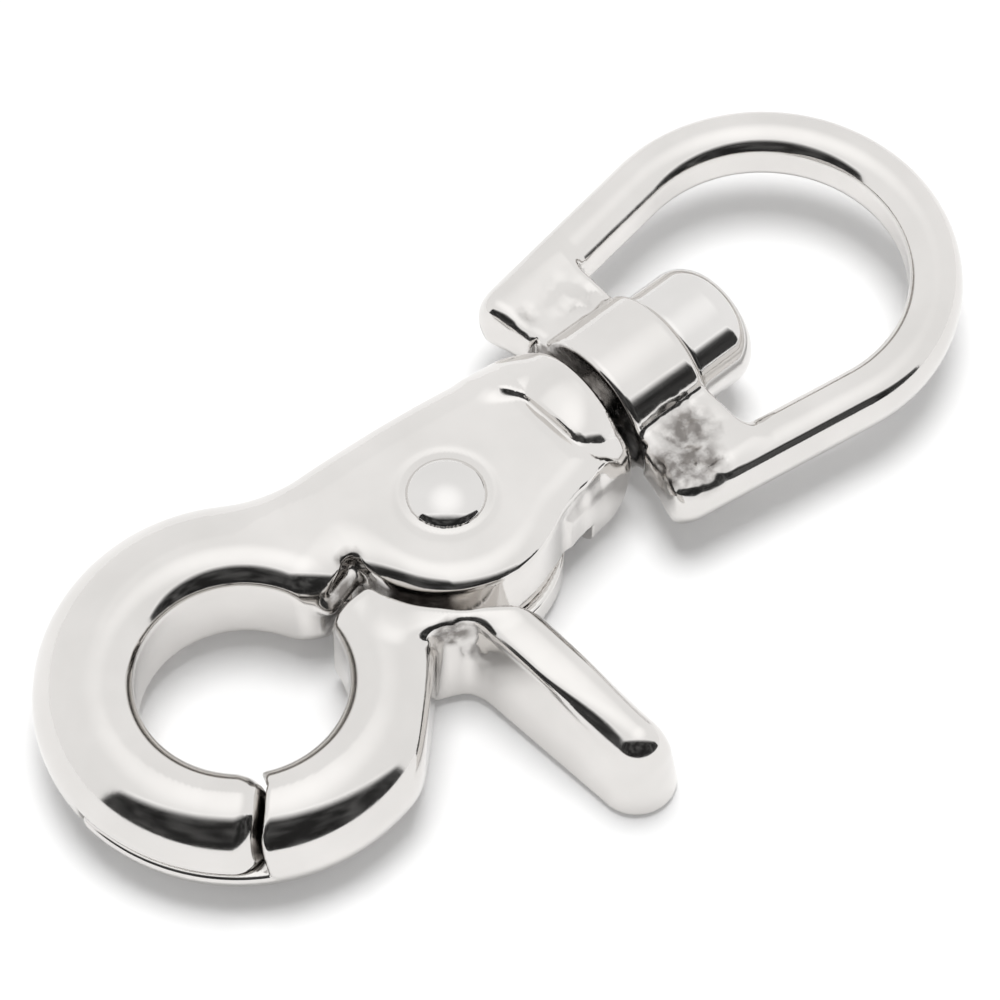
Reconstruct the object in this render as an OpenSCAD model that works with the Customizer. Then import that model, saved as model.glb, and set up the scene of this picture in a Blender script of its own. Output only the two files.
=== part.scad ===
// Scissor snap hook: two lapped jaws on a rivet, a finger lever and a swivelling D-eye.
// The origin is the centre of the round hook opening, halfway through the thickness.
// X runs along the hook towards the eye, Z is square to the flat of the hook. Millimetres.

/* [Hook ring] */
// Radius of the round hook opening
hole_r = 8.6; // [6:0.1:12]
// Outer radius of the ring
ring_r = 16.9; // [14:0.1:22]
// Offset of the outer circle from the opening, along the hook
ring_dx = 0.4; // [0:0.1:1]
// Offset of the outer circle from the opening, across the hook
ring_dy = 0.6; // [0:0.1:1]
// Thickness of the hook
hook_t = 10.6; // [8:0.1:14]

/* [Edges] */
// Radius of the worked edge of a wall
edge_r = 3.4; // [2:0.1:4]
// Width of the worked edge, seen from above
edge_run = 3.0; // [1.5:0.1:3.3]

/* [Jaw lap] */
// Direction of the fixed jaw's end face, degrees round the opening
tip_angle = 233.5; // [225:0.5:245]
// Direction of the moving jaw's tongue end, degrees round the opening
tongue_angle = 179; // [165:1:200]
// Gap between the flat faces of two moving castings
lap_gap = 0.3; // [0.1:0.05:0.6]
// Gap across the jaw ends, degrees round the opening
tip_gap = 3; // [2:0.5:6]

/* [Pivot] */
// Distance of the rivet from the opening, along the hook
pivot_x = 23.0; // [21:0.1:28]
// Distance of the rivet from the opening, across the hook
pivot_y = 1.8; // [0:0.1:3]
// Radius of the rounded cheek about the rivet
cheek_r = 8.6; // [7.5:0.1:10]
// Radius of the trigger's hub disc
hub_r = 9.7; // [8.6:0.1:11]
// Thickness of the trigger's hub disc
hub_t = 2.8; // [2:0.1:4]
// Open slot between the cheek and the moving jaw
slot_w = 2.0; // [1:0.1:3]

/* [Neck] */
// Distance of the neck's far side from the middle of the ring
neck_side = 11.6; // [10:0.1:13]

/* [Rivet] */
// Radius of the rivet's shank
rivet_r = 2.2; // [1.5:0.1:3]
// Radius of the rivet's domed head
rivet_head_r = 3.7; // [3:0.1:5]
// Height of the rivet's domed head
rivet_head_h = 1.5; // [1:0.1:2.5]
// Radial clearance of a shaft that turns in a bore
run_gap = 0.06; // [0.02:0.01:0.1]
// Radial clearance of a shaft that is fixed in a bore
seat_gap = 0.02; // [0.01:0.01:0.05]

/* [Spring] */
// Diameter of the spring wire
wire_d = 0.9; // [0.6:0.1:1.2]
// Mean radius of the spring's coil
coil_r = 4.3; // [3.6:0.1:5]
// Number of turns in the coil
coil_turns = 2.25; // [1.25:0.5:3.25]

/* [Lever] */
// Distance of the lever's rounded end from the rivet
lever_len = 28.2; // [22:0.1:34]
// Half width of the lever at its top
lever_half_w = 2.5; // [2:0.1:4]
// Extra half width of the lever at its foot
lever_draft = 0.9; // [0:0.1:1.5]

/* [Swivel] */
// Distance of the swivel axis from the opening, across the hook
axis_y = 3.0; // [2:0.1:4]
// Radius of the round collar on the body
collar_r = 6.5; // [5.5:0.1:8]
// Start of the collar along the hook
collar_x = 34.2; // [33.5:0.1:40]
// Length of the collar
collar_l = 4.3; // [3:0.1:7]
// Gap between the collar and the boss of the eye
swivel_gap = 1.2; // [0.3:0.1:2]
// Radius of the swivel pin's shank
pin_r = 2.6; // [2:0.1:3.2]
// Radius of the swivel pin's head
head_r = 5.5; // [4:0.1:6.2]
// Length of the swivel pin's head
head_l = 6.8; // [4:0.1:8]

/* [Eye] */
// Radius of the boss of the eye
boss_r = 6.4; // [5:0.1:7.5]
// Length of the boss of the eye
boss_l = 7.5; // [5:0.1:10]
// Thickness of the eye
eye_t = 5.4; // [4:0.1:7]
// Width of the eye's bar, seen from above
bar_w = 5.0; // [4:0.1:7]
// Inner radius of the eye's round end
bow_r = 12.0; // [10:0.1:16]
// Distance from the boss to the centre of the eye's round end
bow_dx = 12.2; // [8:0.1:20]
// Angle at which each leg of the eye leans in, degrees
leg_lean = 8.8; // [4:0.2:12]

/* [Hidden] */

$fn = 96;
steel = [0.80, 0.79, 0.77];
half_t = hook_t / 2;
big = 60;
tiny = 0.01;
ring_c = [ring_dx, ring_dy];
pivot = [pivot_x, pivot_y];

// Height at which a worked edge meets its wall
edge_z = half_t - edge_r + sqrt(edge_r * edge_r - edge_run * edge_run);
// The hub disc fills the bottom of the hook, and the cheek lies above it
hub_top = -half_t + hub_t;
cheek_bottom = hub_top + lap_gap;
// Lap between the two jaws, halfway through the thickness
fixed_lap_z = lap_gap / 2;
moving_lap_z = -lap_gap / 2;
// Edge of the body between the opening and the cheek, and the jaw's edge across the slot
root_y = pivot_y - 0.2;
jaw_top_y = root_y - 2.2;
slot_r = cheek_r + slot_w;

// Pocket for the spring, in the underside of the cheek, and the spring's tails
coil_gap = 0.12;
coil_side_room = 0.35;
coil_end_room = 0.15;
coil_pitch = wire_d + coil_gap;
pocket_r = coil_r + wire_d / 2 + coil_side_room;
pocket_h = coil_turns * coil_pitch + wire_d + 2 * coil_end_room + 0.2;
coil_z = cheek_bottom + coil_end_room + wire_d / 2;
tail_up = 1.4;
tail_down = 2.0;
tail_hole_r = wire_d / 2 + 0.1;

// Room round the hub's rim
hub_room = 0.4;

// Stations along the swivel axis
collar_end = collar_x + collar_l;
boss_x = collar_end + swivel_gap;
boss_end = boss_x + boss_l;
head_x = boss_end + 0.2;
pin_depth = collar_end - pivot_x - hub_r - 0.3;
bow_x = boss_end + bow_dx;
bow_out = bow_r + bar_w;

module place_x(x)
{
    translate([x, axis_y, 0])
        rotate([0, 90, 0])
            children();
}

// Section of a half ring: a round outer side and a flat inner part, from the axis outwards
module half_round_section(r, t)
{
    union()
    {
        translate([0, -t / 2])
            square([r - t / 2, t]);
        translate([r - t / 2, 0])
            circle(t / 2);
    }
}

// What a worked edge takes off a wall that stands at radius r about the axis, hole side
module hole_edge_cutter(r)
{
    rotate_extrude()
        difference()
        {
            translate([0, edge_z])
                square([r + edge_run + 0.3, half_t - edge_z + 1]);
            translate([r + edge_run, half_t - edge_r])
                circle(edge_r + 0.02);
        }
}

// What a worked edge takes off the rim of a disc of radius r
module rim_edge_cutter(r)
{
    rotate_extrude()
        difference()
        {
            translate([r - edge_run - 0.3, edge_z])
                square([edge_run + 3, half_t - edge_z + 1]);
            translate([r - edge_run, half_t - edge_r])
                circle(edge_r + 0.02);
        }
}

// What a worked edge takes off a straight wall from a to b, with the metal on its left
module line_edge_cutter(a, b)
{
    d = b - a;
    len = norm(d);
    translate([a[0], a[1], 0])
        rotate([0, 0, atan2(d[1], d[0])])
            rotate([90, 0, 90])
                linear_extrude(len)
                    difference()
                    {
                        translate([-3, edge_z])
                            square([edge_run + 3.3, half_t - edge_z + 1]);
                        translate([edge_run, half_t - edge_r])
                            circle(edge_r + 0.02);
                    }
}

// The whole ring before it is parted into jaws
module ring_blank()
{
    difference()
    {
        translate([ring_c[0], ring_c[1], 0])
            rotate_extrude()
                half_round_section(ring_r, hook_t);
        cylinder(r = hole_r, h = hook_t + 2, center = true);
        hole_edge_cutter(hole_r);
        mirror([0, 0, 1])
            hole_edge_cutter(hole_r);
    }
}

// Everything from the ray at angle a, anticlockwise to the line y = level on the right
module sweep_below(a, level)
{
    polygon([
        [0, level],
        [0, 0],
        [big * cos(a), big * sin(a)],
        [-big, -2 * big],
        [2 * big, -2 * big],
        [2 * big, level]
    ]);
}

// A slab of a plan shape from z0 to z1
module slab(z0, z1)
{
    translate([0, 0, z0])
        linear_extrude(z1 - z0)
            children();
}

module fixed_jaw()
{
    difference()
    {
        ring_blank();
        slab(fixed_lap_z, half_t + 1)
            sweep_below(tip_angle, root_y);
        slab(-half_t - 1, fixed_lap_z)
            sweep_below(tongue_angle - 2, root_y);
    }
}

// Corners of the neck's plan, from the ring along the far side to the collar and back
far_a = [12.6, ring_dy + neck_side];
far_b = [pivot_x + 3.5, pivot_y + hub_r + 0.5];
far_c = [collar_x, axis_y + collar_r + 0.8];
near_c = [collar_x, axis_y - collar_r - 0.7];
near_b = [pivot_x + 2.6, pivot_y - cheek_r + 0.1];

module neck_plan()
{
    polygon([
        [9, root_y],
        far_a,
        far_b,
        far_c,
        [collar_x + 1.2, axis_y + collar_r - 0.6],
        [collar_x + 1.2, axis_y - collar_r + 0.6],
        near_c,
        near_b,
        [pivot_x, pivot_y - 4],
        [pivot_x - cheek_r + 0.3, root_y]
    ]);
}

module neck()
{
    difference()
    {
        slab(-half_t, half_t)
            neck_plan();
        cylinder(r = hole_r + 1, h = hook_t + 2, center = true);
        line_edge_cutter(far_b, far_a + (far_a - far_b) * 0.2);
        line_edge_cutter(far_c + (far_c - far_b) * 0.8, far_b + (far_b - far_c) * 0.05);
        line_edge_cutter(near_b + (near_b - near_c) * 0.1, near_c + (near_c - near_b) * 0.5);
    }
}

module cheek()
{
    translate([pivot[0], pivot[1], 0])
        difference()
        {
            cylinder(r = cheek_r, h = hook_t, center = true);
            rim_edge_cutter(cheek_r);
        }
}

module collar()
{
    place_x(collar_x)
        rotate_extrude()
            difference()
            {
                square([collar_r, collar_l]);
                translate([collar_r - 0.8, collar_l - 0.8])
                    difference()
                    {
                        square([1, 1]);
                        circle(0.82);
                    }
            }
}

// The space under the cheek in which the trigger's hub turns
module hub_space()
{
    reach = hub_r + hub_room;
    translate([pivot[0] - reach, pivot[1] - big / 2, -half_t - 1])
        cube([2 * reach, big, cheek_bottom + half_t + 1]);
}

// Hole in the cheek for the spring's upper tail
module upper_tail_hole()
{
    translate([pivot[0], pivot[1] + coil_r, cheek_bottom])
        cylinder(r = tail_hole_r, h = pocket_h + tail_up + 0.2);
}

module hook_body()
{
    color(steel)
    difference()
    {
        union()
        {
            fixed_jaw();
            neck();
            cheek();
            collar();
        }
        hub_space();
        translate([pivot[0], pivot[1], 0])
        {
            cylinder(r = rivet_r + seat_gap, h = hook_t + 2, center = true);
            translate([0, 0, cheek_bottom - tiny])
                cylinder(r = pocket_r, h = pocket_h);
        }
        upper_tail_hole();
        place_x(collar_end - pin_depth)
            cylinder(r = pin_r + seat_gap, h = pin_depth + 1);
    }
}

// A round pad, wider at its foot, whose crowned top narrows in three steps
step_h = 0.1;
crown_h = 0.5;
module pad(r)
{
    crown_r = r - edge_run * 0.47;
    tip_r = max(r - edge_run, 0.3);
    translate([0, 0, -half_t])
        cylinder(r = r + lever_draft, h = 1, $fn = 32);
    translate([0, 0, edge_z - 1])
        cylinder(r = r, h = 1, $fn = 32);
    translate([0, 0, half_t - crown_h])
        cylinder(r1 = crown_r, r2 = crown_r - 0.3, h = step_h, $fn = 32);
    translate([0, 0, half_t - step_h])
        cylinder(r = tip_r, h = step_h, $fn = 32);
}

lever_end = pivot + [-1.9, -lever_len + lever_half_w];
lever_root = pivot + [-3.2, -12.0];
bridge_start = pivot + [-3.2, -9.0];
bridge_end = pivot + [-9.8, -6.6];

module lever()
{
    hull()
    {
        translate(lever_root)
            pad(lever_half_w);
        translate(lever_end)
            pad(lever_half_w);
    }
    hull()
    {
        translate(bridge_start)
            pad(lever_half_w - 0.2);
        translate(bridge_end)
            pad(lever_half_w - 0.4);
    }
}

module moving_jaw()
{
    difference()
    {
        ring_blank();
        slab(moving_lap_z, half_t + 1)
            difference()
            {
                square(4 * big, center = true);
                sweep_below(tip_angle + tip_gap, jaw_top_y);
            }
        slab(-half_t - 1, moving_lap_z)
            difference()
            {
                square(4 * big, center = true);
                sweep_below(tongue_angle, jaw_top_y);
            }
    }
}

// Hole in the hub for the spring's lower tail
module lower_tail_hole()
{
    tail_a = 90 + coil_turns * 360;
    translate([pivot[0] + coil_r * cos(tail_a), pivot[1] + coil_r * sin(tail_a), coil_z - tail_down - 0.2])
        cylinder(r = tail_hole_r, h = hub_t);
}

module trigger_jaw()
{
    color(steel)
    difference()
    {
        union()
        {
            difference()
            {
                union()
                {
                    moving_jaw();
                    lever();
                }
                translate([pivot[0], pivot[1], hub_top])
                    cylinder(r = slot_r, h = big);
            }
            translate([pivot[0], pivot[1], -half_t])
                cylinder(r = hub_r, h = hub_t);
        }
        cylinder(r = hole_r, h = hook_t + 2, center = true);
        translate([pivot[0], pivot[1], 0])
        {
            cylinder(r = rivet_r + run_gap, h = hook_t + 2, center = true);
            translate([0, 0, -half_t - tiny])
                cylinder(r1 = rivet_r + countersink_h + run_gap, r2 = rivet_r + run_gap, h = countersink_h);
        }
        lower_tail_hole();
    }
}

// The rivet's foot is spread into the hub's countersink
foot_h = 0.9;
countersink_h = 1.0;

module pivot_rivet()
{
    dome_r = (rivet_head_r * rivet_head_r + rivet_head_h * rivet_head_h) / (2 * rivet_head_h);
    foot_top = -half_t + foot_h;
    color(steel)
    translate([pivot[0], pivot[1], 0])
        rotate_extrude()
            union()
            {
                intersection()
                {
                    translate([0, half_t + rivet_head_h - dome_r])
                        circle(dome_r);
                    translate([0, half_t])
                        square([rivet_head_r, rivet_head_h]);
                }
                translate([0, foot_top])
                    square([rivet_r, hook_t - foot_h]);
                polygon([
                    [0, -half_t],
                    [rivet_r + foot_h, -half_t],
                    [rivet_r, foot_top],
                    [0, foot_top]
                ]);
            }
}

// Centre line of the spring: a tail up into the cheek, the coil, and a tail down into the hub
wire_sides = 10;
coil_steps = ceil(coil_turns * 26);
function turn_at(i) = 90 + coil_turns * 360 * min(max(i - 1, 0), coil_steps) / coil_steps;
function level_at(i) = coil_z + coil_pitch * coil_turns * (1 - min(max(i - 1, 0), coil_steps) / coil_steps)
    + (i == 0 ? tail_up : 0) - (i == coil_steps + 2 ? tail_down : 0);
function radial(a) = [cos(a), sin(a), 0];
function wire_at(i) = coil_r * radial(turn_at(i)) + [0, 0, level_at(i)];
function unit(v) = v / norm(v);
function heading(i) = unit(wire_at(min(i + 1, coil_steps + 2)) - wire_at(max(i - 1, 0)));

module torsion_spring()
{
    rings = coil_steps + 3;
    n = wire_sides;
    points = [
        for (i = [0 : rings - 1])
            let (out = radial(turn_at(i)), side = unit(cross(heading(i), out)))
                for (j = [0 : n - 1])
                    wire_at(i) + wire_d / 2 * (cos(360 * j / n) * out + sin(360 * j / n) * side)
    ];
    sides = [
        for (i = [0 : rings - 2])
            for (j = [0 : n - 1])
                let (k = (j + 1) % n, p = i * n, q = (i + 1) * n)
                    each [[p + j, p + k, q + j], [p + k, q + k, q + j]]
    ];
    start_cap = [[for (j = [n - 1 : -1 : 0]) j]];
    end_cap = [[for (j = [0 : n - 1]) (rings - 1) * n + j]];
    color([0.62, 0.62, 0.63])
    translate([pivot[0], pivot[1], 0])
        polyhedron(points, concat(sides, start_cap, end_cap), convexity = 6);
}

// Section of the eye's bar: round, with a flat inner side
module bar_section(less = 0)
{
    mid = bow_out - eye_t / 2;
    difference()
    {
        union()
        {
            translate([mid, 0])
                circle(eye_t / 2 - less);
            if (bar_w > eye_t)
                translate([bow_r, less - eye_t / 2])
                    square([mid - bow_r, eye_t - 2 * less]);
        }
        translate([0, -eye_t])
            square([bow_r + less, 2 * eye_t]);
    }
}

leg_len = bow_dx + boss_l + 2;
// The bow runs a degree past each leg, and the legs are a hair thinner, so that they fuse
bow_half_angle = 91 + leg_lean;
leg_less = 0.01;

module eye_leg(side)
{
    rotate([0, 0, side * (90 + leg_lean)])
        rotate([90, 0, 0])
            translate([0, 0, side > 0 ? -leg_len : 0])
                linear_extrude(leg_len)
                    bar_section(leg_less);
}

// The curved face of the eye that looks at the collar, and the rounded corners beside it
face_r = 46;
corner_r = 2.6;
corner_x = boss_x - 1.5;
corner_y = (bow_out - (bow_x - corner_x) * sin(leg_lean)) / cos(leg_lean);

module corner_cutter(side)
{
    translate([corner_x, axis_y + side * corner_y, -eye_t])
        rotate([0, 0, side * leg_lean])
            mirror([0, side > 0 ? 1 : 0, 0])
                linear_extrude(2 * eye_t)
                    difference()
                    {
                        translate([-1.5, -1])
                            square([corner_r + 1.5, corner_r + 1]);
                        translate([corner_r, corner_r])
                            circle(corner_r);
                    }
}

module eye_blank()
{
    translate([bow_x, axis_y, 0])
    {
        rotate_extrude(start = -bow_half_angle, angle = 2 * bow_half_angle)
            bar_section();
        eye_leg(1);
        eye_leg(-1);
    }
    translate([boss_x - 1.6, axis_y - 12.5, -eye_t / 2 + 0.2])
        cube([boss_end - boss_x + 1.6, 25, eye_t - 0.4]);
}

module swivel_eye()
{
    color(steel)
    difference()
    {
        union()
        {
            difference()
            {
                eye_blank();
                translate([boss_x - face_r, axis_y, 0])
                    cylinder(r = face_r, h = big, center = true, $fn = 180);
                place_x(boss_x - 3)
                    cylinder(r = collar_r + 0.6, h = 3);
                corner_cutter(1);
                corner_cutter(-1);
            }
            place_x(boss_x)
                cylinder(r = boss_r, h = boss_l);
        }
        place_x(boss_x - 1)
            cylinder(r = pin_r + run_gap, h = boss_l + 2);
    }
}

// The pin starts just off the end of its bore, and its head has a rounded end
pin_end_gap = 0.1;
head_edge = 2.6;

module swivel_pin()
{
    nose = head_r - head_edge;
    shank_l = head_x - collar_end + pin_depth - pin_end_gap;
    color(steel)
    place_x(collar_end - pin_depth + pin_end_gap)
        rotate_extrude()
            union()
            {
                square([pin_r, shank_l + tiny]);
                translate([0, shank_l])
                    union()
                    {
                        square([head_r, head_l - head_edge]);
                        square([nose, head_l]);
                        translate([nose, head_l - head_edge])
                            intersection()
                            {
                                circle(head_edge);
                                square([head_edge + 1, head_edge + 1]);
                            }
                    }
            }
}

hook_body();
trigger_jaw();
pivot_rivet();
torsion_spring();
swivel_eye();
swivel_pin();
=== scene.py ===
import math

import bpy
import numpy as np
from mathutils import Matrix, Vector


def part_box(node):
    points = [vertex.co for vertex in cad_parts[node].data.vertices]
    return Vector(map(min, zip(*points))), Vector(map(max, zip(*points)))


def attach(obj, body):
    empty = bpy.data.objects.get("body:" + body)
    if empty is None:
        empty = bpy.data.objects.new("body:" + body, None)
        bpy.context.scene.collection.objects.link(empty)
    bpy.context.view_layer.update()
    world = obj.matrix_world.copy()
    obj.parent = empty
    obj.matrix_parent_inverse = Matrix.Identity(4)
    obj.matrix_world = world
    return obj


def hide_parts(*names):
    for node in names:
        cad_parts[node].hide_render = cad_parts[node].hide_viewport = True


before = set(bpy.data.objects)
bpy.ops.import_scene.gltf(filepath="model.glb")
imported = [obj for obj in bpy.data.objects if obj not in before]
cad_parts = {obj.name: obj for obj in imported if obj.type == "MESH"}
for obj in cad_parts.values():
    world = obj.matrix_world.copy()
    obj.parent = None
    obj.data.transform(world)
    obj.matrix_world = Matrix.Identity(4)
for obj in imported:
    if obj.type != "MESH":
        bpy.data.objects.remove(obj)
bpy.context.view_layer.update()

# The shapes are in millimetres in the CAD's own frame, and each mesh is scaled to metres as it
# is made. Each casting is a signed distance field, negative inside the metal. The last number
# given to smin, smax and round_max is the width or radius over which they blend.
MM = 0.001
STEP = 0.25
PIN_STEP = 0.2
RIVET_STEP = 0.16

# The ring that the two jaws make: its opening, its outer circle and half its thickness
HOLE_R = 8.6
RING_R = 16.9
RING_C = (0.4, 0.6)
HALF_T = 5.3
TUBE_C = RING_R - HALF_T

# The rounded edge along the opening and the cheek: its radius, and how wide it is
EDGE_R = 3.4
EDGE_RUN = 3.0

# The two jaws' end faces: radius from the opening's centre, and angle in degrees
FIXED_TIP = [(8.4, 234.8), (9.3, 238.0), (10.6, 239.4), (12.9, 236.6), (14.5, 233.6), (16.5, 229.5)]
MOVING_TIP = [(8.4, 236.4), (9.3, 239.6), (10.6, 241.0), (12.9, 238.0), (14.5, 235.0), (17.0, 233.2)]
TIP_LEAN = 0.2

# The lap under the fixed jaw's tip: half its gap, and the slopes in plan of the faces that
# part the lower half of the fixed jaw from the tongue
LAP_GAP = 0.15
FIXED_ROOT_SLOPE = 0.0524
MOVING_ROOT_SLOPE = 0.0175

# The tips lie left of TIP_SIDE_X. The fixed jaw is ended only below TIP_TOP_Y, and right of
# the opening's middle the moving jaw starts below MOVING_TOP_Y.
TIP_SIDE_X = 4.0
TIP_TOP_Y = 2.0
MOVING_TOP_Y = -0.6

# How much is taken off the ring's radius towards the fixed jaw's tip
JAW_TAPER = 0.2

# The root's wall beside the slot, in plan. ROOT_SQUARE turns the height over the sloping wall
# into a distance from it.
ROOT_AT = (8.6, 1.1)
ROOT_SLOPE = 0.34
ROOT_SQUARE = 0.947
NO_CUT = -9.0

# Cheek and neck in plan. A straight wall is a point on it and its outward normal.
CHEEK_C = (23.4, 2.5)
CHEEK_R = 9.6
NEAR_AT = (24.0, -6.45)
NEAR_OUT = (0.2204, -0.9754)
FAR_Y = 12.1
FAR_AT = (26.5, 12.0)
FAR_OUT = (0.2156, 0.9765)
NECK_START = 8.5
NECK_END = 36.2
CHEEK_BOTTOM = -2.2

# The lump left in the slot's corner: a short thick line
LUMP_START = (13.6, 2.3)
LUMP_END = (10.2, 1.5)
LUMP_Z = 1.9
LUMP_R = 0.8

# The block under the neck that carries the near wall on to the collar
FOOT_AT = (24.0, -6.1)
FOOT_START = 31.0
FOOT_END = 37.6
FOOT_Z = -1.6
FOOT_HALF_H = 3.6

# Rivet, and the spring's pocket and upper tail
PIVOT = (23.0, 1.8)
RIVET_R = 2.2
RIVET_HEAD_R = 3.7
RIVET_HEAD_H = 1.5
RIVET_RIM = 0.8
RIVET_FLARE = 0.9
DOME_R = 5.1
POCKET_R = 5.1
POCKET_TOP = 1.5
COIL_R = 4.3
TAIL_HOLE_R = 0.55
TAIL_HOLE_Z = 0.4
TAIL_HOLE_HALF_H = 2.8

# Hub, the slot round the cheek with its cut corner, and the countersink for the rivet
HUB_R = 9.7
HUB_TOP = -2.5
HUB_ROOM = 0.4
SLOT_R = 10.6
SLOT_CORNER_AT = (18.1, -7.8)
SLOT_CORNER_OUT = (-0.644, -0.766)
SLOT_CORNER_X = 16.6
COUNTERSINK_Z = -4.3

# The moving jaw's flat towards the lever, as a normal and a distance from the ring's centre,
# then the lever and the bridge between them. The lever widens towards its foot.
FACET_OUT = (0.697, -0.717)
FACET_D = 15.35
LEVER_ROOT = (19.9, -10.2)
LEVER_END = (21.0, -24.0)
LEVER_HALF_W = 2.5
LEVER_SPREAD = 0.9
LEVER_FALL = 1.15
LEVER_SIDE = (0.997, 0.0795)
LEVER_SIDE_D = 1.9
LEVER_DRAFT = 0.2
BRIDGE_START = (20.0, -7.6)
BRIDGE_END = (13.0, -4.4)
BRIDGE_INSET = 0.3
LEVER_FOOT_R = 0.8

# Stations and radii along the swivel's axis
AXIS_Y = 3.0
COLLAR_R = 6.5
COLLAR_START = 33.9
COLLAR_END = 38.5
PIN_R = 2.6
PIN_START = 33.1
PIN_NOSE_R = 2.6
HEAD_R = 5.5
HEAD_X = 47.4
HEAD_END = 54.2
BOSS_R = 6.4
BOSS_X = 39.7
BOSS_END = 47.2
RUNNING_GAP = 0.06
SEAT_GAP = 0.02

# The eye: half its thickness, the bow's centre, inner radius and the middle of its bar, the
# legs' lean, and the web with its curved end face
EYE_HALF_T = 2.7
BOW_X = 59.4
BOW_R = 12.0
BOW_MID = 14.3
LEG_LEAN = math.radians(8.8)
WEB_HALF_W = 12.5
WEB_HALF_T = 2.5
END_FACE_R = 46.0
COLLAR_ROOM = 0.6

# Rough spots on each casting: centre, radius, how deep and how dark
HOOK_SPOTS = [
    ((13.3, 2.6, 4.0), 1.7, 0.3, 1.0),
    ((14.6, 1.2, 2.6), 1.6, 0.3, 1.0),
    ((34.4, -3.8, 0.5), 0.8, 0.2, 0.8),
]
TRIGGER_SPOTS = [
    ((15.3, -8.4, 3.8), 2.3, 0.35, 1.4),
    ((16.8, -8.9, 1.0), 1.8, 0.2, 0.4),
    ((9.3, -0.9, 3.0), 1.2, 0.2, 0.8),
]
EYE_SPOTS = [
    ((43.2, -5.2, 2.6), 3.6, 0.5, 0.9),
    ((41.4, -8.0, 2.5), 3.6, 0.5, 1.1),
    ((39.4, -6.8, 2.9), 3.0, 0.4, 1.4),
    ((45.0, 10.5, 2.6), 3.8, 0.25, 0.12),
    ((40.4, 12.0, 2.0), 1.8, 0.2, 0.25),
]

# How dark the painted shade is, low in the slot, along the jaws' parting and in the gap between
# collar and boss
PAINTED_SHADE = 0.8


# ---------------------------------------------------------------- joining fields


def smin(a, b, k):
    """Union, with the inner corner filled over a width k."""
    h = np.maximum(k - np.abs(a - b), 0.0) / k
    return np.minimum(a, b) - h * h * k * 0.25


def smax(a, b, k):
    """Intersection, with the outer edge eased over a width k."""
    return -smin(-a, -b, k)


def round_max(a, b, r):
    """Intersection, with the outer edge rounded to radius r."""
    return (
        np.minimum(np.maximum(a, b) + r, 0.0)
        + np.hypot(np.maximum(a + r, 0.0), np.maximum(b + r, 0.0))
        - r
    )


def worked_edge(wall, soft, top, run=EDGE_RUN, crisp=0.25):
    """A wall whose top edge is rounded over a width run, and ends in a crisp line. soft is
    the same wall with eased corners, which the rounding follows."""
    return smax(wall, round_max(soft - (EDGE_R - run), top, EDGE_R), crisp)


def ramp(t):
    """0 below 0, 1 above 1, and straight between."""
    return np.clip(t, 0.0, 1.0)


def ease(t):
    """0 below 0, 1 above 1, and smooth between."""
    t = ramp(t)
    return t * t * (3.0 - 2.0 * t)


def above(v, start, width):
    """0 up to start, and 1 from a width beyond it."""
    return ease((v - start) / width)


def below(v, end, width):
    """1 until a width before the end, and 0 past it."""
    return ease((end - v) / width)


def bump_at(p, centre, radius):
    """A smooth hump, 1 at the centre and 0 beyond the radius."""
    d2 = sum((a - b) ** 2 for a, b in zip(p, centre)) / radius**2
    return np.maximum(1.0 - d2, 0.0) ** 2


def segment(x, y, a, b):
    """Distance in plan to the segment a-b, and how far along it the nearest point is."""
    dx, dy = b[0] - a[0], b[1] - a[1]
    t = ramp(((x - a[0]) * dx + (y - a[1]) * dy) / (dx * dx + dy * dy))
    return np.hypot(x - a[0] - t * dx, y - a[1] - t * dy), t


def past_line(x, y, point, out):
    """Distance in plan past the line through a point, along its outward normal."""
    return out[0] * (x - point[0]) + out[1] * (y - point[1])


def past_ray(x, y, stations):
    """Distance past a ray from the opening's centre that bends as it goes out."""
    r = np.hypot(x, y)
    radii, angles = zip(*stations)
    turn = np.arctan2(y, x) - np.radians(np.interp(r, radii, angles))
    return r * np.sin(turn)


def past_tip(x, y, z, stations):
    """Distance past a jaw's end face, which leans with depth."""
    return past_ray(x, y, stations) - TIP_LEAN * (HALF_T - z)


def from_pivot(x, y):
    """Distance from the rivet's axis."""
    return np.hypot(x - PIVOT[0], y - PIVOT[1])


def from_swivel(y, z):
    """Distance from the swivel's axis."""
    return np.hypot(y - AXIS_Y, z)


# ---------------------------------------------------------------- surface noise

# Seeded random values on a lattice, the same in each run
LATTICE_N = 32
LATTICE = np.random.default_rng(7).uniform(-1.0, 1.0, (LATTICE_N,) * 3)
NOISE_SHIFT = 500.0


def noise(x, y, z, size):
    """Smooth value noise between -1 and 1, with lumps about size across."""
    cell, part = [], []
    for v in (x, y, z):
        s = v / size + NOISE_SHIFT
        i = np.floor(s)
        cell.append(i.astype(int))
        part.append(ease(s - i))
    total = 0.0
    for dx in (0, 1):
        for dy in (0, 1):
            for dz in (0, 1):
                weight = (
                    (part[0] if dx else 1.0 - part[0])
                    * (part[1] if dy else 1.0 - part[1])
                    * (part[2] if dz else 1.0 - part[2])
                )
                total = total + weight * LATTICE[
                    (cell[0] + dx) % LATTICE_N, (cell[1] + dy) % LATTICE_N, (cell[2] + dz) % LATTICE_N
                ]
    return total


def casting_waves(x, y, z):
    """The slight unevenness that hand polishing leaves on a casting."""
    return 0.014 * noise(x, y, z, 5.0) + 0.005 * noise(x, y, z, 2.1)


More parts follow.
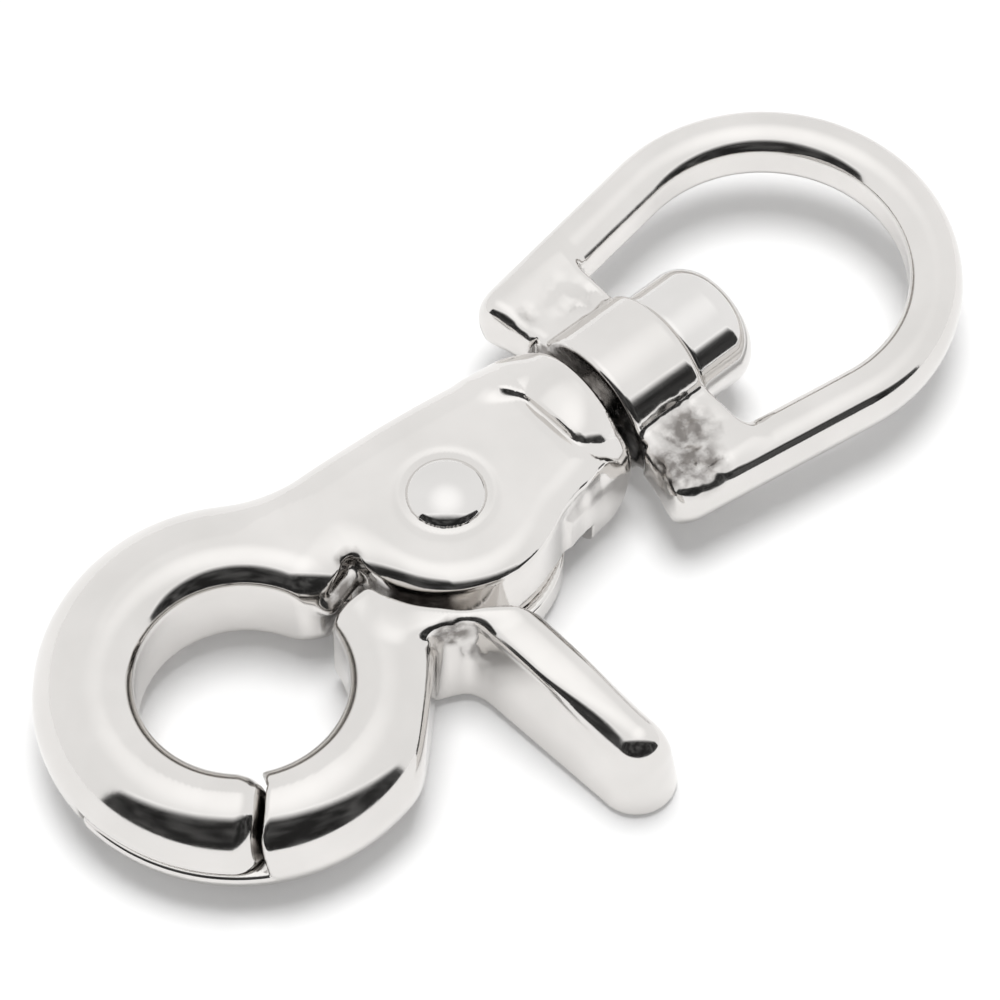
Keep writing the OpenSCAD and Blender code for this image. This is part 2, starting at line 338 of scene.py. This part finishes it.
def rough_patch(x, y, z, spots):
    """Pits and lumps in a few spots, and how dark each point is: a stain over each spot, made darker
    along the folds' creases as painted shade.
    """
    mark, deep = 0.0, 0.0
    for centre, radius, depth, dark in spots:
        bump = bump_at((x, y, z), centre, radius)
        mark, deep = np.maximum(mark, dark * bump), np.maximum(deep, depth * bump)
    folds = noise(x, 0.7 * y - 0.5 * z, 0.6 * z + 0.4 * x, 1.7)
    creases = 1.0 - 2.5 * np.abs(folds)
    grain = noise(x + 9.0, y, z, 0.6)
    # Darker still along the folds' creases: painted shade
    in_crease = np.exp(-((folds / 0.08) ** 2))
    return deep * (0.75 * creases + 0.25 * grain), mark * (0.75 + 0.6 * in_crease)


def parting_shade(x, y, z, stations):
    """Painted shade where the jaws meet, on the upper half of a jaw's end face."""
    line = np.exp(-((past_tip(x, y, z, stations) / 0.22) ** 2))
    return line * (x < 0.0) * below(z, 4.7, 0.6) * above(z, 0.0, 0.4)


# ---------------------------------------------------------------- hook body


def ring_outside(x, y, z, taper=0.0):
    """The half-round outside of the ring. taper is taken off its outer radius."""
    rho = np.hypot(x - RING_C[0], y - RING_C[1])
    out = rho - TUBE_C
    wide = HALF_T - taper
    return np.where(out > 0.0, np.hypot(out * HALF_T / wide, z) - HALF_T, np.abs(z) - HALF_T)


def hook_near_wall(x, y):
    """Plan of the metal round the opening and beside the slot: the root, the cheek and the
    neck's near wall. The second result is the same wall with eased corners."""
    hole = HOLE_R - np.hypot(x, y)
    beside_slot = (ROOT_AT[1] + ROOT_SLOPE * (x - ROOT_AT[0]) - y) * ROOT_SQUARE
    root = np.where(x < TIP_SIDE_X, NO_CUT, beside_slot)
    cheek = np.hypot(x - CHEEK_C[0], y - CHEEK_C[1]) - CHEEK_R
    neck = smax(past_line(x, y, NEAR_AT, NEAR_OUT), CHEEK_C[0] - x, 0.5)
    flank = smin(cheek, neck, 0.8)
    wall = round_max(hole, smin(root, flank, 1.0), 1.0)
    soft = round_max(hole, smin(root, flank, 5.5), 3.2)
    return wall, soft


def hook_outside(x, y, z):
    """The ring, a little narrower towards the fixed jaw's tip, and the neck with its soft
    far side."""
    angle = np.degrees(np.arctan2(y, x)) % 360.0
    taper = JAW_TAPER * ramp((angle - 150.0) / 50.0) * (angle < 300.0)
    ring = ring_outside(x, y, z, taper)
    far = smax(y - FAR_Y, past_line(x, y, FAR_AT, FAR_OUT), 3.0)
    plan = smax(smax(far, x - NECK_END, 2.0), NECK_START - x, 5.0)
    neck = round_max(plan, np.abs(z) - HALF_T, 3.5)
    return smin(ring, neck, 2.5)


def lap_fixed_jaw(body, x, y, z):
    """Ends the fixed jaw at its tip, and cuts its lower half away over the tongue."""
    before_tip = smin(past_tip(x, y, z, FIXED_TIP), TIP_TOP_Y - y, 0.2)
    over_tongue = smin(LAP_GAP - z, -(y + FIXED_ROOT_SLOPE * x), 0.1)
    lapped = smax(round_max(body, before_tip, 1.8), over_tongue, 0.35)
    return np.where(x < TIP_SIDE_X, lapped, body)


def neck_foot(x, y, z):
    """The block under the neck."""
    plan = smax(past_line(x, y, FOOT_AT, NEAR_OUT), y - AXIS_Y, 1.0)
    section = smax(x - FOOT_END, np.abs(z - FOOT_Z) - FOOT_HALF_H, 2.0)
    return np.maximum(round_max(plan, section, 1.2), FOOT_START - x)


def collar(x, y, z):
    """Round at its end, and squarer and slightly narrower where it leaves the neck."""
    power = 2.0 + 0.9 * ramp((38.0 - x) / 3.0) * below(y, 4.0, 3.0)
    squared = (np.abs(y - AXIS_Y) ** power + np.abs(z) ** power) ** (1.0 / power)
    barrel = squared - COLLAR_R + 0.55 * ramp((37.2 - x) / 3.0) ** 2
    start = COLLAR_START + 0.07 * (5.3 - y)
    return smax(round_max(barrel, x - COLLAR_END, 0.9), start - x, 0.3)


def hook_rooms(x, y, z):
    """Room for the trigger's hub, the spring and its upper tail, and the two shafts."""
    from_axis = from_pivot(x, y)
    hub_room = smax(np.abs(x - PIVOT[0]) - HUB_R - HUB_ROOM, z - CHEEK_BOTTOM, 0.2)
    pocket = smax(from_axis - POCKET_R, z - POCKET_TOP, 0.1)
    bore = np.minimum(from_axis - RIVET_R - SEAT_GAP, pocket)
    from_tail = np.hypot(x - PIVOT[0], y - PIVOT[1] - COIL_R)
    tail = np.maximum(from_tail - TAIL_HOLE_R, np.abs(z - TAIL_HOLE_Z) - TAIL_HOLE_HALF_H)
    pin_bore = np.maximum(from_swivel(y, z) - PIN_R - SEAT_GAP, PIN_START - 0.1 - x)
    return np.minimum(np.minimum(hub_room, bore), np.minimum(tail, pin_bore))


def hook_body(x, y, z):
    """Fixed jaw, cheek, neck and collar, with the rooms inside them."""
    wall, soft = hook_near_wall(x, y)
    run = EDGE_RUN - 0.6 * ramp((x - 14.0) / 4.0)
    body = np.maximum(hook_outside(x, y, z), worked_edge(wall, soft, np.abs(z) - HALF_T, run=run))
    body = lap_fixed_jaw(body, x, y, z)
    body = smin(body, neck_foot(x, y, z), 2.0)
    # The collar blends into the neck, apart from a sharp step on the upper face
    step = ramp((z - 2.0) / 3.0) * below(y, 6.8, 2.6) * above(y, -5.0, 2.0)
    body = smin(body, collar(x, y, z), 3.2 - 2.8 * step)
    # A lump left in the slot's corner
    off, _ = segment(x, y, LUMP_START, LUMP_END)
    body = smin(body, np.hypot(off, z - LUMP_Z) - LUMP_R, 0.7)
    return smax(body, -hook_rooms(x, y, z), 0.2)


def hook_marks(x, y, z):
    """Relief on the hook body's surface, and its darkening: stains, and painted shade in the slot, at
    the jaws' parting and on the collar's end face.
    """
    rough, mark = rough_patch(x, y, z, HOOK_SPOTS)
    beyond_head = from_pivot(x, y) - RIVET_HEAD_R
    seat = 0.09 * np.exp(-(((beyond_head - 0.25) / 0.38) ** 2)) * (z > 4.0)
    # Painted shade low in the slot, along the jaws' parting, and on the collar's end face in the gap
    # by the swivel
    slot = below(z, 3.4, 0.8) * below(x, 19.5, 3.0) * above(x, 9.2, 1.2) * below(y, 2.5, 1.0)
    groove = above(x, COLLAR_END - 0.25, 0.2)
    painted_shade = np.maximum(slot, np.maximum(parting_shade(x, y, z, FIXED_TIP), groove))
    return casting_waves(x, y, z) + rough + seat, np.maximum(mark, PAINTED_SHADE * painted_shade)


# ---------------------------------------------------------------- trigger


def moving_jaw(x, y, z):
    """The near half of the ring, with its tongue running on under the fixed jaw's tip."""
    jaw = smax(ring_outside(x, y, z), past_line(x, y, RING_C, FACET_OUT) - FACET_D, 0.7)
    hole = HOLE_R - np.hypot(x, y)
    jaw = np.maximum(jaw, worked_edge(hole, hole, np.abs(z) - HALF_T))
    upper = np.where(x < 0.0, -past_tip(x, y, z, MOVING_TIP), y - MOVING_TOP_Y)
    lower = y - np.where(x < 0.0, -MOVING_ROOT_SLOPE * x, MOVING_TOP_Y)
    lapped = smax(lower, smin(z + LAP_GAP, upper, 0.1), 0.1)
    return smax(jaw, lapped, 0.7)


def lever_half_width(z):
    """The lever and its bridge widen towards the underside."""
    return LEVER_HALF_W + LEVER_SPREAD * ramp((3.5 - z) / 8.8)


def lever(x, y, z):
    """The finger lever: its top is crowned, falls towards the end and grows rounder there."""
    off, along = segment(x, y, LEVER_ROOT, LEVER_END)
    side = past_line(x, y, LEVER_ROOT, LEVER_SIDE)
    crown = 0.07 * off * off
    far_crown = 0.12 * np.maximum(side, 0.0) ** 2
    top = HALF_T - 0.2 - LEVER_FALL * ease(along) - crown - far_crown
    shape = smax(off - lever_half_width(z), z - top, 0.65 + 2.0 * ease(1.5 * along - 0.5))
    shape = round_max(shape, side - LEVER_SIDE_D - LEVER_DRAFT * (HALF_T - z), 1.6)
    return round_max(shape, -HALF_T - z, LEVER_FOOT_R)


def bridge(x, y, z):
    """The arm that joins the lever to the jaw."""
    off, _ = segment(x, y, BRIDGE_START, BRIDGE_END)
    top = HALF_T - 0.06 * off * off
    shape = smax(off - lever_half_width(z) + BRIDGE_INSET, z - top, 0.9)
    return round_max(shape, -HALF_T - z, LEVER_FOOT_R)


def trigger_jaw(x, y, z):
    """Moving jaw, lever, bridge and hub."""
    solid = smin(moving_jaw(x, y, z), smin(lever(x, y, z), bridge(x, y, z), 1.6), 1.0)
    # The slot round the cheek, and the hub disc under it
    from_axis = from_pivot(x, y)
    corner = smax(past_line(x, y, SLOT_CORNER_AT, SLOT_CORNER_OUT), SLOT_CORNER_X - x, 1.0)
    slot = np.maximum(smin(from_axis - SLOT_R, corner, 1.0), HUB_TOP - z)
    solid = smax(solid, -slot, 0.6)
    hub_mid, hub_half = (HUB_TOP - HALF_T) / 2, (HUB_TOP + HALF_T) / 2
    solid = smin(solid, round_max(from_axis - HUB_R, np.abs(z - hub_mid) - hub_half, 0.35), 0.3)
    # The opening, and the rivet's bore with its countersink
    solid = np.maximum(solid, HOLE_R - np.hypot(x, y))
    bore = from_axis - RIVET_R - RUNNING_GAP - np.maximum(COUNTERSINK_Z - z, 0.0)
    return np.maximum(solid, -bore)


def trigger_marks(x, y, z):
    """Relief on the trigger's surface, and its darkening: stains, and painted shade in the slot and
    at the jaws' parting.
    """
    rough, mark = rough_patch(x, y, z, TRIGGER_SPOTS)
    # Painted shade low in the slot round the cheek, and along the jaws' parting
    slot = below(from_pivot(x, y), SLOT_R + 0.3, 0.3) * below(x, 18.5, 2.5) * below(z, 3.5, 0.8)
    painted_shade = np.maximum(slot, parting_shade(x, y, z, MOVING_TIP))
    return casting_waves(x, y, z) + rough, np.maximum(mark, PAINTED_SHADE * painted_shade)


# ---------------------------------------------------------------- eye, rivet and pin


def out_from_bow(x, across):
    """Distance out from the middle of the bow, carried straight on along the two legs."""
    turn = np.abs(np.arctan2(across, x - BOW_X))
    rho = np.hypot(x - BOW_X, across)
    leg = -math.sin(LEG_LEAN) * (x - BOW_X) + math.cos(LEG_LEAN) * np.abs(across)
    return np.where(turn < math.pi / 2 + LEG_LEAN, rho, leg)


def swivel_eye(x, y, z):
    """The D-shaped bow, its web and the boss."""
    across = y - AXIS_Y
    axial = from_swivel(y, z)
    # The round bar, flat on its inner side, and the web that carries the boss
    out = out_from_bow(x, across)
    bar = smax(np.hypot(out - BOW_MID, z) - EYE_HALF_T, BOW_R - out, 0.2)
    web_plan = smax(np.abs(across) - WEB_HALF_W, x - BOSS_END, 0.5)
    web = round_max(web_plan, np.abs(z) - WEB_HALF_T, 0.5)
    face = END_FACE_R - np.hypot(x - BOSS_X + END_FACE_R, across)
    ends = round_max(out - BOW_MID - EYE_HALF_T, face, 2.6)
    eye = round_max(smin(bar, web, 1.2), ends, 1.5)
    # Room for the collar, then the boss and its bore
    eye = smax(eye, -np.maximum(axial - COLLAR_R - COLLAR_ROOM, x - BOSS_X), 0.4)
    boss_mid, boss_half = (BOSS_X + BOSS_END) / 2, (BOSS_END - BOSS_X) / 2
    eye = smin(eye, round_max(axial - BOSS_R, np.abs(x - boss_mid) - boss_half, 0.6), 0.5)
    bore = np.maximum(axial - PIN_R - RUNNING_GAP, x - BOSS_END - 1.0)
    return np.maximum(eye, -bore)


def eye_marks(x, y, z):
    """Relief on the eye's surface, and its darkening: stains, and painted shade on the boss's face
    towards the collar.
    """
    rough, mark = rough_patch(x, y, z, EYE_SPOTS)
    # Painted shade on the boss's face, in the gap towards the collar
    groove = below(x, BOSS_X + 0.2, 0.2) * (from_swivel(y, z) < BOSS_R + 0.4)
    return casting_waves(x, y, z) + rough, np.maximum(mark, PAINTED_SHADE * groove)


def pivot_rivet(x, y, z):
    """Domed head, shank and flared lower end."""
    from_axis = from_pivot(x, y)
    ball = np.hypot(from_axis, z - (HALF_T + RIVET_HEAD_H - DOME_R)) - DOME_R
    head = smax(round_max(ball, from_axis - RIVET_HEAD_R, RIVET_RIM), HALF_T - z, 0.1)
    shank = np.maximum(from_axis - RIVET_R, np.abs(z) - HALF_T)
    # The lower end is flared into the hub's countersink
    flare = from_axis - RIVET_R + (z + HALF_T) - RIVET_FLARE
    foot = np.maximum(flare, np.abs(z + HALF_T - RIVET_FLARE / 2) - RIVET_FLARE / 2)
    return np.minimum(np.minimum(head, shank), foot)


def swivel_pin(x, y, z):
    """Shank and round-nosed head."""
    axial = from_swivel(y, z)
    shank = np.maximum(axial - PIN_R, np.maximum(PIN_START - x, x - HEAD_X - 0.5))
    head = smax(round_max(axial - HEAD_R, x - HEAD_END, PIN_NOSE_R), HEAD_X - x, 0.5)
    return np.minimum(shank, head)


def plain_marks(x, y, z):
    """Faint waves and no stain, for the turned pieces."""
    return 0.5 * casting_waves(x, y, z), np.zeros(np.shape(x))


# ---------------------------------------------------------------- fields to meshes


def surface_nets(field, low, high, step):
    """Points and quads of the surface field = 0 in a box, one point to each cell it crosses."""
    axes = [np.arange(low[i] - 2 * step, high[i] + 2 * step, step) for i in range(3)]
    shape = tuple(len(a) for a in axes)
    x, y, z = np.meshgrid(*axes, indexing="ij", sparse=True)
    value = np.broadcast_to(field(x, y, z), shape)
    inside = value < 0.0

    def at_corner(grid, corner):
        """The grid's values at one corner of every cell."""
        return grid[tuple(slice(o, n - 1 + o) for o, n in zip(corner, shape))]

    corners = [(i, j, k) for i in (0, 1) for j in (0, 1) for k in (0, 1)]
    count = sum(at_corner(inside, c).astype(np.int8) for c in corners)
    mixed = (count > 0) & (count < 8)
    number = np.full(mixed.shape, -1)
    number[mixed] = np.arange(mixed.sum())

    # Each cell's point is the mean of the places where the surface crosses the cell's edges
    at = [at_corner(value, c)[mixed] for c in corners]
    total = np.zeros((mixed.sum(), 3))
    crossed = np.zeros(mixed.sum())
    for a in range(8):
        for b in range(a + 1, 8):
            start, end = np.array(corners[a]), np.array(corners[b])
            if np.abs(start - end).sum() != 1:
                continue
            hit = (at[a] < 0.0) != (at[b] < 0.0)
            t = np.where(hit, at[a] / np.where(hit, at[a] - at[b], 1.0), 0.0)
            total += np.where(hit[:, None], start + t[:, None] * (end - start), 0.0)
            crossed += hit
    base = np.stack(np.nonzero(mixed), 1)
    origin = np.array([a[0] for a in axes])
    points = origin + step * (base + total / crossed[:, None])

    # Each grid edge that the surface crosses gives a quad, through the four cells round it
    quads = []
    for axis in range(3):
        u, v = (axis + 1) % 3, (axis + 2) % 3
        first = [slice(1, n - 1) for n in shape]
        first[axis] = slice(0, shape[axis] - 1)
        second = list(first)
        second[axis] = slice(1, shape[axis])
        start, end = inside[tuple(first)], inside[tuple(second)]
        for flip, where in ((False, start & ~end), (True, end & ~start)):
            cell = np.stack(np.nonzero(where), 1)
            cell[:, u] += 1
            cell[:, v] += 1
            around = []
            for du, dv in ((-1, -1), (0, -1), (0, 0), (-1, 0)):
                c = cell.copy()
                c[:, u] += du
                c[:, v] += dv
                around.append(number[tuple(c.T)])
            quads.append(np.stack(around[::-1] if flip else around, 1))
    return points, np.concatenate(quads)


def slope(field, points, eps=0.02):
    """The field's gradient at each point."""
    x, y, z = points.T
    return np.stack(
        [
            field(x + eps, y, z) - field(x - eps, y, z),
            field(x, y + eps, z) - field(x, y - eps, z),
            field(x, y, z + eps) - field(x, y, z - eps),
        ],
        1,
    ) / (2 * eps)


def settle(field, points, rounds=3):
    """Moves the points onto the surface, in short steps where the field's slope is small."""
    for _ in range(rounds):
        g = slope(field, points)
        d = np.clip(field(*points.T), -STEP, STEP)
        points = points - g * (d / np.maximum((g * g).sum(1), 0.3))[:, None]
    return points


def casting(name, shape, marks, body, material, step=STEP):
    """Meshes a field, with its marks, as the piece that stands for the CAD node of that name.
    The normals are the field's own, and the stains and painted shade are kept for the material."""

    def surface(x, y, z):
        return shape(x, y, z) + marks(x, y, z)[0]

    low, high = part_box(name)
    low, high = np.array(low) / MM, np.array(high) / MM
    points, quads = surface_nets(shape, low, high, step)
    points = np.clip(settle(surface, points), low, high)
    normals = slope(surface, points, 0.04)
    normals /= np.maximum(np.linalg.norm(normals, axis=1), 1e-9)[:, None]
    mesh = bpy.data.meshes.new(name + "_visual")
    mesh.from_pydata((points * MM).tolist(), [], quads.tolist())
    mesh.validate()
    mesh.shade_smooth()
    mesh.normals_split_custom_set_from_vertices(normals.tolist())
    # The darkening kept for the material: stains, and painted shade
    stain_and_shade = mesh.attributes.new("stain_and_shade", "FLOAT", "POINT")
    stain_and_shade.data.foreach_set("value", marks(*points.T)[1].astype(np.float32))
    mesh.materials.append(material)
    piece = bpy.data.objects.new(name + "_visual", mesh)
    bpy.context.scene.collection.objects.link(piece)
    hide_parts(name)
    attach(piece, body)


# ---------------------------------------------------------------- materials

# The dark colour and extra roughness for stains and for painted shade
STAIN_AND_SHADE_COLOUR = (0.15, 0.135, 0.125)
STAIN_AND_SHADE_ROUGHNESS = 0.16
BUMP_STRENGTH = 0.10
BUMP_DISTANCE = 0.00002


class Nodes:
    """Short names for building a material's nodes."""

    def __init__(self, name):
        self.material = bpy.data.materials.new(name)
        self.material.use_nodes = True
        self.tree = self.material.node_tree
        self.tree.nodes.clear()
        self.out = self.add("ShaderNodeOutputMaterial")

    def add(self, kind, **values):
        node = self.tree.nodes.new(kind)
        for key, value in values.items():
            setattr(node, key, value)
        return node

    def link(self, source, target):
        self.tree.links.new(source, target)

    def noise(self, scale, detail=2.0, stretch=None):
        """Noise in object space. scale counts lumps to the metre."""
        place = self.add("ShaderNodeTexCoord").outputs["Object"]
        if stretch:
            mapping = self.add("ShaderNodeMapping")
            mapping.inputs["Scale"].default_value = stretch
            self.link(place, mapping.inputs["Vector"])
            place = mapping.outputs["Vector"]
        texture = self.add("ShaderNodeTexNoise")
        texture.inputs["Scale"].default_value = scale
        texture.inputs["Detail"].default_value = detail
        self.link(place, texture.inputs["Vector"])
        return texture.outputs["Fac"]

    def remap(self, source, low, high, to_low, to_high, **values):
        """Carries the range low to high over to to_low to to_high."""
        node = self.add("ShaderNodeMapRange", **values)
        node.inputs["From Min"].default_value = low
        node.inputs["From Max"].default_value = high
        node.inputs["To Min"].default_value = to_low
        node.inputs["To Max"].default_value = to_high
        self.link(source, node.inputs["Value"])
        return node.outputs["Result"]

    def math(self, operation, a, b):
        node = self.add("ShaderNodeMath", operation=operation)
        for socket, value in zip(node.inputs, (a, b)):
            if isinstance(value, (int, float)):
                socket.default_value = value
            else:
                self.link(value, socket)
        return node.outputs[0]

    def mix_colour(self, factor, a, b):
        """A colour mix. Sockets 6 and 7 are its two colours, and output 2 is the mixed one."""
        node = self.add("ShaderNodeMix", data_type="RGBA")
        self.link(factor, node.inputs[0])
        for socket, value in ((node.inputs[6], a), (node.inputs[7], b)):
            if isinstance(value, tuple):
                socket.default_value = (*value, 1.0)
            else:
                self.link(value, socket)
        return node.outputs[2]


def polished_metal(name, light, dark, roughness, scratch=0.25):
    """Bright metal: slight colour clouds, fine polishing scratches, and a dark colour where the mesh
    is marked, which stands for stains on the rough spots and for painted shade in the slot, at the
    jaws' parting and in the swivel's gap."""
    n = Nodes(name)
    shader = n.add("ShaderNodeBsdfPrincipled")
    shader.inputs["Metallic"].default_value = 1.0
    # The mesh's darkening: stains on the rough spots, and painted shade in the slot, the parting and
    # the swivel's gap
    stain_and_shade = n.add("ShaderNodeAttribute", attribute_name="stain_and_shade").outputs["Fac"]
    clouds = n.remap(n.noise(140.0, 3.0), 0.3, 0.7, 0.0, 1.0)
    colour = n.mix_colour(clouds, light, dark)
    speckle = n.remap(n.noise(900.0, 5.0), 0.30, 0.58, 0.2, 1.0)
    stain_and_shade_amount = n.math("MULTIPLY", n.remap(stain_and_shade, 0.05, 0.6, 0.0, 0.85), speckle)
    n.link(n.mix_colour(stain_and_shade_amount, colour, STAIN_AND_SHADE_COLOUR), shader.inputs["Base Color"])
    gloss = n.remap(n.noise(420.0, 4.0), 0.3, 0.7, roughness * 0.75, roughness * 1.3)
    dull = n.math("ADD", gloss, n.math("MULTIPLY", stain_and_shade, STAIN_AND_SHADE_ROUGHNESS))
    n.link(dull, shader.inputs["Roughness"])
    lines = n.noise(900.0, 2.0, (1.0, 9.0, 3.0))
    pits = n.remap(n.noise(2600.0, 2.0), 0.30, 0.42, 0.0, 1.0)
    bump = n.add("ShaderNodeBump")
    bump.inputs["Strength"].default_value = BUMP_STRENGTH
    bump.inputs["Distance"].default_value = BUMP_DISTANCE
    height = n.math("ADD", n.math("MULTIPLY", lines, scratch), n.math("MULTIPLY", pits, 0.3))
    n.link(height, bump.inputs["Height"])
    n.link(bump.outputs["Normal"], shader.inputs["Normal"])
    n.link(shader.outputs["BSDF"], n.out.inputs["Surface"])
    return n.material


def seen_directly(tree):
    """1 for a ray from the camera, off metal or through glass, and 0 for diffuse light."""
    path = tree.nodes.new("ShaderNodeLightPath")
    total = path.outputs["Is Camera Ray"]
    for kind in ("Is Glossy Ray", "Is Transmission Ray"):
        add = tree.nodes.new("ShaderNodeMath")
        add.operation = "ADD"
        tree.links.new(total, add.inputs[0])
        tree.links.new(path.outputs[kind], add.inputs[1])
        total = add.outputs[0]
    return total


def plain_floor(name):
    """Pale matt paper with a very faint mottle. It looks white, and keeps its shadows."""
    n = Nodes(name)
    shader = n.add("ShaderNodeBsdfPrincipled")
    shader.inputs["Roughness"].default_value = 0.9
    shader.inputs["Specular IOR Level"].default_value = 0.0
    tone = n.remap(n.noise(30.0, 2.0), 0.3, 0.7, 0.0, 1.0)
    paper = n.mix_colour(tone, (0.93, 0.93, 0.93), (0.935, 0.935, 0.935))
    n.link(paper, shader.inputs["Base Color"])
    shader.inputs["Emission Color"].default_value = (1.0, 1.0, 1.0, 1.0)
    n.link(n.math("MULTIPLY", seen_directly(n.tree), 0.10), shader.inputs["Emission Strength"])
    n.link(shader.outputs["BSDF"], n.out.inputs["Surface"])
    return n.material


def card(name, near_value, far_value, start, end, axis=None, clouds=0.0):
    """A light panel or dark card. Its brightness changes from near_value at start to far_value
    at end, measured along an axis, or out from its middle if there is none. clouds is how
    much soft patches add to it."""
    n = Nodes(name)
    place = n.add("ShaderNodeTexCoord").outputs["Object"]
    if axis is None:
        length = n.add("ShaderNodeVectorMath", operation="LENGTH")
        n.link(place, length.inputs[0])
        along = length.outputs["Value"]
    else:
        split = n.add("ShaderNodeSeparateXYZ")
        n.link(place, split.inputs[0])
        along = split.outputs[axis]
    level = n.remap(along, start, end, near_value, far_value, interpolation_type="SMOOTHSTEP")
    patches = n.remap(n.noise(2.6, 4.0), 0.45, 0.75, 0.0, clouds)
    glow = n.add("ShaderNodeEmission")
    n.link(n.math("ADD", level, patches), glow.inputs["Strength"])
    n.link(glow.outputs["Emission"], n.out.inputs["Surface"])
    return n.material


# ---------------------------------------------------------------- build

bright = polished_metal(
    "polished_casting", light=(0.775, 0.755, 0.735), dark=(0.715, 0.697, 0.677), roughness=0.10
)
rivet_metal = polished_metal(
    "polished_rivet", light=(0.79, 0.775, 0.76), dark=(0.73, 0.715, 0.70), roughness=0.08
)
pin_metal = polished_metal(
    "polished_pin", light=(0.78, 0.765, 0.75), dark=(0.72, 0.705, 0.69), roughness=0.09
)
wire = polished_metal(
    "spring_wire", light=(0.60, 0.59, 0.58), dark=(0.46, 0.45, 0.44), roughness=0.22, scratch=0.6
)

casting("hook_body", hook_body, hook_marks, "hook", bright)
casting("trigger_jaw", trigger_jaw, trigger_marks, "trigger", bright)
casting("swivel_eye", swivel_eye, eye_marks, "eye", bright)
casting("pivot_rivet", pivot_rivet, plain_marks, "hook", rivet_metal, RIVET_STEP)
casting("swivel_pin", swivel_pin, plain_marks, "hook", pin_metal, PIN_STEP)

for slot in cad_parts["torsion_spring"].material_slots:
    slot.material = wire


# ---------------------------------------------------------------- stage, in metres


def panel(name, centre, u, v, material):
    """A rectangle from its centre and two half sides."""
    u, v = Vector(u), Vector(v)
    mesh = bpy.data.meshes.new(name)
    mesh.from_pydata([-u - v, u - v, u + v, -u + v], [], [(0, 1, 2, 3)])
    mesh.materials.append(material)
    obj = bpy.data.objects.new(name, mesh)
    obj.location = Vector(centre)
    bpy.context.scene.collection.objects.link(obj)
    return obj


def show_in_reflections_only(obj):
    """Hides a panel from the camera and from diffuse light, and takes its shadow away."""
    obj.visible_camera = False
    obj.visible_diffuse = False
    obj.visible_shadow = False


# The hook rests on its collar, the ring's rim and the lever's foot, so the floor slopes
FLOOR_AT = -5.6961 * MM
FLOOR_GAP = 0.00005
FLOOR_DX = -0.01961
FLOOR_DY = -0.03068
FLOOR_HALF = 6.0
panel(
    "floor",
    (0.0, 0.0, FLOOR_AT - FLOOR_GAP),
    (FLOOR_HALF, 0.0, FLOOR_HALF * FLOOR_DX),
    (0.0, FLOOR_HALF, FLOOR_HALF * FLOOR_DY),
    plain_floor("pale_paper"),
)

# Level directions towards the camera and across its view
NEAR = Vector((-0.652, -0.758, 0.0))
SIDE = Vector((0.758, -0.652, 0.0))
UP = Vector((0.0, 0.0, 1.0))

# A bright panel overhead, which the metal's upper faces reflect
OVERHEAD_Z = 2.2
OVERHEAD_HALF = 1.9
overhead = panel(
    "overhead_panel",
    UP * OVERHEAD_Z,
    SIDE * OVERHEAD_HALF,
    NEAR * OVERHEAD_HALF,
    card("overhead_light", near_value=1.27, far_value=1.0, start=0.2, end=1.8),
)
show_in_reflections_only(overhead)

# A dark card on the camera's side, which the rounded edges reflect as dark bands
CARD_AT = NEAR * 1.0 + SIDE * 1.5 + UP * 1.05
CARD_HALF_W = 3.6
CARD_HALF_H = 1.14
dark = panel(
    "dark_card",
    CARD_AT,
    SIDE * CARD_HALF_W,
    UP * CARD_HALF_H,
    card("dark_cloth", near_value=0.02, far_value=1.18, start=0.14, end=1.12, axis=2, clouds=0.09),
)
show_in_reflections_only(dark)
dark.visible_transmission = False

# A broad soft lamp above and a little behind, which only the floor's shadows need
LAMP_TILT = 0.18
lamp = bpy.data.objects.new("soft_lamp", bpy.data.lights.new("soft_lamp", "SUN"))
lamp.data.energy = 2.1
lamp.data.angle = math.radians(30.0)
lamp.rotation_euler = (UP - NEAR * LAMP_TILT).to_track_quat("Z", "Y").to_euler()
lamp.visible_glossy = False
bpy.context.scene.collection.objects.link(lamp)

# The surroundings look white, and light the floor less than they look
WORLD_LIGHT = 0.39
WORLD_LOOK = 1.0
world = bpy.data.worlds.new("studio")
bpy.context.scene.world = world
world.use_nodes = True
sky = world.node_tree.nodes["Background"]
sky.inputs["Color"].default_value = (1.0, 1.0, 1.0, 1.0)
level = world.node_tree.nodes.new("ShaderNodeMapRange")
level.inputs["To Min"].default_value = WORLD_LIGHT
level.inputs["To Max"].default_value = WORLD_LOOK
world.node_tree.links.new(seen_directly(world.node_tree), level.inputs["Value"])
world.node_tree.links.new(level.outputs["Result"], sky.inputs["Strength"])


# ---------------------------------------------------------------- camera

CAMERA_AT = Vector((-125.3, -177.3, 376.3)) * MM
LOOKS_AT = Vector((30.2, 3.5, -5.3)) * MM
camera = bpy.data.objects.new("camera", bpy.data.cameras.new("camera"))
camera.data.sensor_width = 36.0
camera.data.lens = 194.4
camera.data.clip_start = 0.01
camera.data.clip_end = 50.0
camera.location = CAMERA_AT
camera.rotation_euler = (LOOKS_AT - CAMERA_AT).to_track_quat("-Z", "Y").to_euler()
bpy.context.scene.collection.objects.link(camera)
bpy.context.scene.camera = camera

bpy.context.scene.view_settings.view_transform = "Standard"
